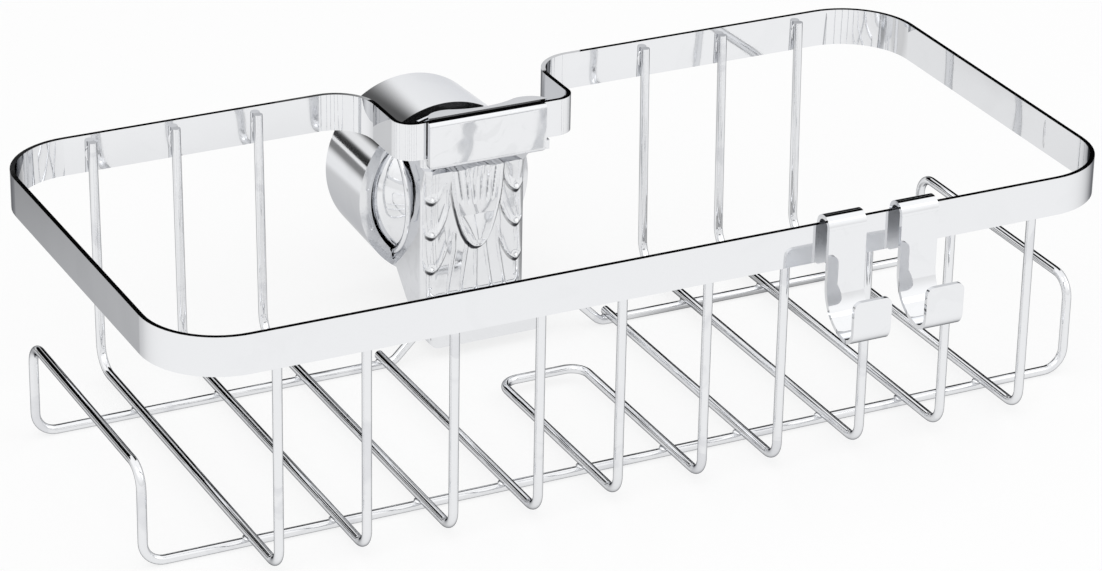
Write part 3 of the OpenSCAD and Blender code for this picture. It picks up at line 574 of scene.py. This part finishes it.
def build_floor():
    """A pale sheet: white to the eye and bright in the chrome, with patches of painted shade that
    only the chrome sees, and it keeps the soft shadow.
    """
    bpy.ops.object.select_all(action="DESELECT")
    bpy.ops.mesh.primitive_plane_add(size=FLOOR_SIZE, location=(0, 0, cad_box[0].z))
    floor = bpy.context.object
    floor.name = "studio_floor"
    made, t = new_material("white studio floor")
    light_path = add(t, "ShaderNodeLightPath")
    paper = add(t, "ShaderNodeBsdfDiffuse", {"Color": srgb("#F0F0F0")})
    place = add(t, "ShaderNodeTexCoord").outputs["Object"]
    seen = srgb("#FFFFFF")
    # painted shade: each patch darkens the floor's glow where the chrome's rays land on it
    for (x, y), (wide, deep), level in SHADES:
        off = add(t, "ShaderNodeVectorMath", {0: place, 1: (x * MM, y * MM, 0)},
            operation="SUBTRACT")
        off = add(t, "ShaderNodeVectorMath", {0: off.outputs[0],
            1: (1 / wide / MM, 1 / deep / MM, 0)}, operation="MULTIPLY")
        far = add(t, "ShaderNodeVectorMath", {0: off.outputs[0]}, operation="LENGTH")
        inside = add(t, "ShaderNodeMapRange", {"Value": far.outputs["Value"],
            "From Min": SHADE_FROM, "From Max": SHADE_TO, "To Min": 1.0, "To Max": 0.0},
            interpolation_type="SMOOTHSTEP")
        shaded = add(t, "ShaderNodeMix", {"Factor": inside.outputs["Result"], "A": seen,
            "B": [level, level, level, 1]}, data_type="RGBA")
        seen = shaded.outputs["Result"]
    eye = add(t, "ShaderNodeMix", {"Factor": light_path.outputs["Is Camera Ray"], "A": seen,
        "B": srgb("#FFFFFF")}, data_type="RGBA")
    white = add(t, "ShaderNodeEmission", {"Color": eye.outputs["Result"], "Strength": 1})
    lifted = add(t, "ShaderNodeMath", {0: light_path.outputs["Is Camera Ray"], 1: FLOOR_SEEN},
        operation="MULTIPLY")
    mirrored = add(t, "ShaderNodeMath", {0: light_path.outputs["Is Glossy Ray"],
        1: light_path.outputs["Is Transmission Ray"]}, operation="MAXIMUM")
    mirrored = add(t, "ShaderNodeMath", {0: mirrored.outputs[0], 1: FLOOR_MIRRORED,
        2: lifted.outputs[0]}, operation="MULTIPLY_ADD")
    both = add(t, "ShaderNodeMixShader", {"Fac": mirrored.outputs[0]})
    t.links.new(paper.outputs[0], both.inputs[1])
    t.links.new(white.outputs[0], both.inputs[2])
    add(t, "ShaderNodeOutputMaterial", {"Surface": both.outputs[0]})
    wear(floor, made)


def way_to(side, height):
    """The direction of a place in the room: side 0 is straight behind the basket, 90 its right."""
    a, h = math.radians(side), math.radians(height)
    return Vector((math.sin(a) * math.cos(h), math.cos(a) * math.cos(h), math.sin(h)))


def flag_cover(t, way, side, height, half_wide, half_high, slant, soft):
    """How much of a flag lies in a direction, from 0 to 1: a slanted oval with a soft edge."""
    middle = way_to(side, height)
    level = Vector((middle.y, -middle.x, 0)).normalized()
    rise = level.cross(middle)
    turned = math.radians(slant)
    along = level * math.cos(turned) + rise * math.sin(turned)
    across = rise * math.cos(turned) - level * math.sin(turned)
    parts = []
    for line, half in ((along, half_wide), (across, half_high)):
        dot = add(t, "ShaderNodeVectorMath", {0: way, 1: line / math.sin(math.radians(half))},
            operation="DOT_PRODUCT")
        parts.append(dot.outputs["Value"])
    front = add(t, "ShaderNodeVectorMath", {0: way, 1: middle}, operation="DOT_PRODUCT")
    front = add(t, "ShaderNodeMath", {0: front.outputs["Value"], 1: 0.0},
        operation="GREATER_THAN")
    first = add(t, "ShaderNodeMath", {0: parts[0], 1: parts[0]}, operation="MULTIPLY")
    far = add(t, "ShaderNodeMath", {0: parts[1], 1: parts[1], 2: first.outputs[0]},
        operation="MULTIPLY_ADD")
    inside = add(t, "ShaderNodeMapRange", {"Value": far.outputs[0], "From Min": 1 - soft,
        "From Max": 1 + soft, "To Min": 1.0, "To Max": 0.0}, interpolation_type="SMOOTHSTEP")
    return add(t, "ShaderNodeMath", {0: inside.outputs["Result"], 1: front.outputs[0]},
        operation="MULTIPLY").outputs[0]


def build_room():
    """A white room with soft dark flags behind the basket, which draw the chrome's dark lines."""
    world = bpy.data.worlds.new("studio")
    bpy.context.scene.world = world
    world.use_nodes = True
    t = world.node_tree
    t.nodes.clear()
    way = add(t, "ShaderNodeTexCoord").outputs["Generated"]
    split = add(t, "ShaderNodeSeparateXYZ", {"Vector": way})
    up = add(t, "ShaderNodeMapRange", {"Value": split.outputs["Z"], "From Min": 0.0,
        "From Max": ROOM_TOP_UP}, interpolation_type="SMOOTHSTEP")
    seen = add(t, "ShaderNodeMix", {"Factor": up.outputs["Result"], "A": srgb("#F2F2F2"),
        "B": [ROOM_TOP, ROOM_TOP, ROOM_TOP, 1]}, data_type="RGBA")
    for *shape, hexa in FLAGS:
        seen = add(t, "ShaderNodeMix", {"Factor": flag_cover(t, way, *shape),
            "A": seen.outputs["Result"], "B": srgb(hexa)}, data_type="RGBA")
    light_path = add(t, "ShaderNodeLightPath")
    room = add(t, "ShaderNodeBackground", {"Color": seen.outputs["Result"], "Strength": 1})
    paper = add(t, "ShaderNodeBackground", {"Color": srgb("#FFFFFF"), "Strength": 1})
    both = add(t, "ShaderNodeMixShader", {"Fac": light_path.outputs["Is Camera Ray"]})
    t.links.new(room.outputs[0], both.inputs[1])
    t.links.new(paper.outputs[0], both.inputs[2])
    add(t, "ShaderNodeOutputWorld", {"Surface": both.outputs[0]})


def build_card():
    """A white card behind the knob, seen only in the chrome: it keeps the barrel's top light."""
    bpy.ops.object.select_all(action="DESELECT")
    bpy.ops.mesh.primitive_plane_add(size=1, location=(0, 0, 0))
    card = bpy.context.object
    card.name = "barrel_card"
    at = points_of(card) * MM
    wide, high = CARD_RIGHT - CARD_LEFT, CARD_HIGH - CARD_LOW
    move_points(card, np.stack([CARD_LEFT + (at[:, 0] + 0.5) * wide, np.full(len(at), CARD_Y),
        CARD_LOW + (at[:, 1] + 0.5) * high], 1))
    made, t = new_material("white card")
    place = add(t, "ShaderNodeTexCoord").outputs["Object"]
    split = add(t, "ShaderNodeSeparateXYZ", {"Vector": place})
    fade = add(t, "ShaderNodeMapRange", {"Value": split.outputs["X"], "From Min": CARD_FADE * MM,
        "From Max": CARD_FULL * MM, "To Min": CARD_LEAST}, interpolation_type="SMOOTHSTEP")
    white = add(t, "ShaderNodeEmission", {"Color": srgb("#FFFFFF"), "Strength": 1})
    clear = add(t, "ShaderNodeBsdfTransparent")
    both = add(t, "ShaderNodeMixShader", {"Fac": fade.outputs["Result"]})
    t.links.new(clear.outputs[0], both.inputs[1])
    t.links.new(white.outputs[0], both.inputs[2])
    add(t, "ShaderNodeOutputMaterial", {"Surface": both.outputs[0]})
    wear(card, made)
    card.visible_camera = False
    card.visible_diffuse = False
    card.visible_shadow = False


def build_camera():
    """The photograph's own viewing angle, found from the basket's rim, wires and knob."""
    side, height, tilt = (math.radians(a) for a in CAMERA_TURNS)
    back = Vector((math.sin(side) * math.cos(height), -math.cos(side) * math.cos(height),
        math.sin(height)))
    level = Vector((math.cos(side), math.sin(side), 0))
    lift = back.cross(level)
    right = math.cos(tilt) * level + math.sin(tilt) * lift
    up = -math.sin(tilt) * level + math.cos(tilt) * lift
    lens = bpy.data.cameras.new("photo_camera")
    lens.lens = SENSOR_W * PHOTO_FOCAL / PHOTO_W
    lens.clip_end = 20
    camera = bpy.data.objects.new("photo_camera", lens)
    bpy.context.scene.collection.objects.link(camera)
    turn = Matrix((right, up, back)).transposed().to_4x4()
    camera.matrix_world = Matrix.Translation(Vector(CAMERA_PLACE) * MM) @ turn
    bpy.context.scene.camera = camera


def build_lamps():
    """Two large soft lamps at a low level, which give the floor its shadow."""
    for name, place, size, power in LAMPS:
        lamp = bpy.data.lights.new(name, "AREA")
        lamp.size = size
        lamp.energy = power
        made = bpy.data.objects.new(name, lamp)
        bpy.context.scene.collection.objects.link(made)
        made.location = place
        made.rotation_euler = (-Vector(place)).to_track_quat("-Z", "Y").to_euler()


for part in frame["record"]["subparts"]:
    wear(frame["nodes"][part["node"]], FINISH[part["material_slot"]])
wear(frame["nodes"]["rim_band"], strip_chrome)

build_casting()
build_carving()
build_lips()
build_basket_welds()
build_floor()
build_room()
build_card()
build_camera()
build_lamps()
bpy.context.scene.view_settings.view_transform = "Standard"
